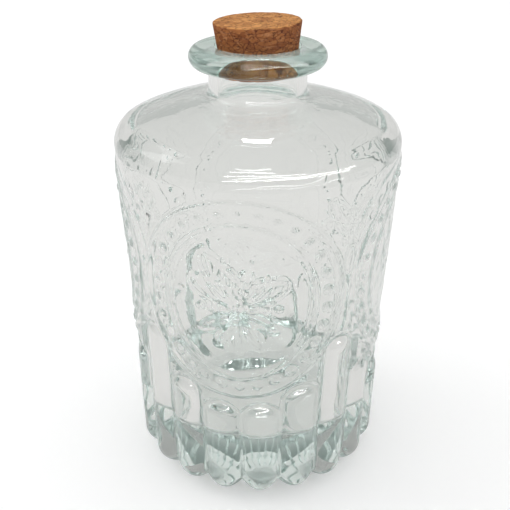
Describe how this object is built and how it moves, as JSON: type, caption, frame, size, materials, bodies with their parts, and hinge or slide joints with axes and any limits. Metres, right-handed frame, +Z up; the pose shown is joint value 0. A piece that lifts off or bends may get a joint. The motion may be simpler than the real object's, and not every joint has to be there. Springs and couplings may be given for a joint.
{
  "type": "corked glass bottle",
  "caption": "Round, thick pressed-glass bottle with a flat domed shoulder, short neck, rolled lip, finger flutes at the foot, ringed medallions on the wall and a lift-out tapered cork.",
  "frame": {"origin": "middle of the standing ring, on the surface that the bottle stands on", "axes": "+Z up along the bottle's axis, out of the mouth; one medallion faces -Y and the others +X, +Y and -X"},
  "size_m": [0.1214, 0.1214, 0.2017],
  "materials": {
    "glass": "clear pressed glass with a faint sea-green tint, fire-polished and slightly wavy",
    "cork": "agglomerated cork, matte, with dark granules"
  },
  "bodies": {
    "bottle": {"bottle": "glass"},
    "cork": {"cork": "cork"}
  },
  "joints": [
    {"name": "cork_pull", "type": "slide", "parent": "bottle", "child": "cork", "axis": [0, 0, 1], "range_m": [0, 0.03]}
  ]
}
